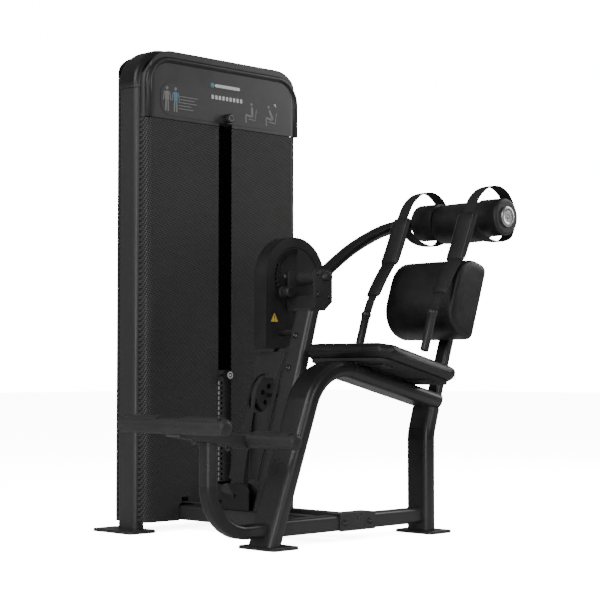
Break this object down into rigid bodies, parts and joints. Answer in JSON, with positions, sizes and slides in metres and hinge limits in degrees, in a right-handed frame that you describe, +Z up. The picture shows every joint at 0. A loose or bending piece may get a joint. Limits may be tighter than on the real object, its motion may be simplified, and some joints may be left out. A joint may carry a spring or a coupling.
{
  "type": "abdominal crunch machine",
  "caption": "Selectorised abdominal crunch machine: shrouded weight tower, sloping padded seat and back rest, foot rest, and a swing arm with a neck roll and two shoulder straps with grips.",
  "frame": {"origin": "on the floor, under the middle of the machine's bounding box", "axes": "+X from the foot rest to the back rest (the user faces -X), +Y from the seat to the weight tower, +Z up"},
  "size_m": [1.412, 1.041, 1.63],
  "materials": {
    "frame_paint": "satin",
    "stack_paint": "satin",
    "shroud_plastic": "matte",
    "pulley_plastic": "matte",
    "rubber": "matte",
    "belt": "matte",
    "upholstery": "satin",
    "board": "matte",
    "chrome": "gloss",
    "steel": "satin",
    "bronze": "satin",
    "cam_metal": "satin"
  },
  "bodies": {
    "frame": {"tower_upright_left": "frame_paint", "tower_upright_right": "frame_paint", "tower_arch": "frame_paint", "tower_feet": "frame_paint", "tower_crossbar_lower": "frame_paint", "tower_crossbar_upper": "frame_paint", "front_shroud": "shroud_plastic", "front_header": "shroud_plastic", "rear_shroud": "shroud_plastic", "guide_rods": "chrome", "stack_bumpers": "rubber", "weight_plates": "stack_paint", "drive_belt": "belt", "seat_frame": "frame_paint", "rear_column": "frame_paint", "floor_beam": "frame_paint", "cross_beam_main": "frame_paint", "cross_beam_foot": "frame_paint", "coupler_plate": "frame_paint", "seat_feet": "frame_paint", "foot_post": "frame_paint", "footrest_bracket": "frame_paint", "foot_bars": "rubber", "foot_treads": "rubber", "seat_bracket": "frame_paint", "seat_board": "board", "seat_pad": "upholstery", "back_support": "frame_paint", "back_pad": "upholstery", "pivot_column": "frame_paint", "belt_housing": "frame_paint", "yoke": "frame_paint", "pivot_bushes": "bronze", "cam_cover": "shroud_plastic", "base_bracket": "frame_paint", "frame_bolts": "steel"},
    "arm": {"arm": "frame_paint", "pivot_shaft": "steel", "cam": "cam_metal", "roll_housing_far": "shroud_plastic", "roll_housing_near": "shroud_plastic", "neck_pad": "upholstery", "end_disc": "steel"},
    "strap_near": {"strap_near": "belt", "grip_near": "rubber"},
    "strap_far": {"strap_far": "belt", "grip_far": "rubber"},
    "start_disc": {"start_disc": "frame_paint"},
    "pull_pin": {"pull_knob": "shroud_plastic"},
    "stack_head": {"head_plate": "stack_paint", "selector_stem": "steel", "head_belt": "belt"},
    "selector_pin": {"selector_pin": "shroud_plastic"},
    "addon_weight": {"addon_weight": "stack_paint"},
    "addon_knob": {"addon_knob": "shroud_plastic"},
    "idler_pulley": {"idler_pulley": "pulley_plastic"},
    "base_pulley": {"base_pulley": "pulley_plastic"},
    "bottom_pulley": {"bottom_pulley": "pulley_plastic"},
    "top_pulley_left": {"top_pulley_left": "pulley_plastic"},
    "top_pulley_right": {"top_pulley_right": "pulley_plastic"}
  },
  "joints": [
    {"name": "arm_hinge", "type": "hinge", "parent": "frame", "child": "arm", "pos_m": [0.1635, -0.0255, 0.85], "axis": [0, -1, 0], "range_deg": [0, 75]},
    {"name": "strap_near_hang", "type": "hinge", "parent": "arm", "child": "strap_near", "pos_m": [0.6305, -0.4405, 1.056], "axis": [0, -1, 0], "range_deg": [-75, 0]},
    {"name": "strap_far_hang", "type": "hinge", "parent": "arm", "child": "strap_far", "pos_m": [0.6305, -0.1505, 1.056], "axis": [0, -1, 0], "range_deg": [-75, 0]},
    {"name": "start_disc_turn", "type": "hinge", "parent": "frame", "child": "start_disc", "pos_m": [0.1635, 0.0615, 0.85], "axis": [0, -1, 0], "range_deg": [0, 60]},
    {"name": "pull_pin_slide", "type": "slide", "parent": "frame", "child": "pull_pin", "axis": [0, -1, 0], "range_m": [0, 0.012], "stiffness_N_per_m": 300, "springref_m": -0.005},
    {"name": "head_lift", "type": "slide", "parent": "frame", "child": "stack_head", "axis": [0, 0, 1], "range_m": [0, 0.131]},
    {"name": "selector_pin_slide", "type": "slide", "parent": "stack_head", "child": "selector_pin", "axis": [0, -1, 0], "range_m": [0, 0.07]},
    {"name": "addon_weight_slide", "type": "slide", "parent": "frame", "child": "addon_weight", "axis": [0, 0, -1], "range_m": [0, 0.62]},
    {"name": "addon_knob_pull", "type": "slide", "parent": "addon_weight", "child": "addon_knob", "axis": [0, -1, 0], "range_m": [0, 0.015], "stiffness_N_per_m": 300, "springref_m": -0.005},
    {"name": "idler_spin", "type": "hinge", "parent": "frame", "child": "idler_pulley", "pos_m": [0.0555, 0.0875, 0.455], "axis": [0, -1, 0], "range_deg": [-137, 0]},
    {"name": "base_spin", "type": "hinge", "parent": "frame", "child": "base_pulley", "pos_m": [-0.0955, 0.0645, 0.13], "axis": [1, 0, 0], "range_deg": [-209, 0]},
    {"name": "bottom_spin", "type": "hinge", "parent": "frame", "child": "bottom_pulley", "pos_m": [-0.0955, 0.3665, 0.124], "axis": [1, 0, 0], "range_deg": [-251, 0]},
    {"name": "top_left_spin", "type": "hinge", "parent": "frame", "child": "top_pulley_left", "pos_m": [-0.0655, 0.3925, 1.526], "axis": [0, -1, 0], "range_deg": [0, 251]},
    {"name": "top_right_spin", "type": "hinge", "parent": "frame", "child": "top_pulley_right", "pos_m": [0.055, 0.3925, 1.526], "axis": [0, -1, 0], "range_deg": [0, 251]}
  ],
  "couplings": [
    {"joint": "strap_near_hang", "follows": "arm_hinge", "ratio": -1},
    {"joint": "strap_far_hang", "follows": "arm_hinge", "ratio": -1},
    {"joint": "head_lift", "follows": "arm_hinge", "m_per_rad": 0.1},
    {"joint": "idler_spin", "follows": "arm_hinge", "ratio": -1.8182},
    {"joint": "base_spin", "follows": "arm_hinge", "ratio": -2.7778},
    {"joint": "bottom_spin", "follows": "arm_hinge", "ratio": -3.3333},
    {"joint": "top_left_spin", "follows": "arm_hinge", "ratio": 3.3333},
    {"joint": "top_right_spin", "follows": "arm_hinge", "ratio": 3.3333}
  ]
}
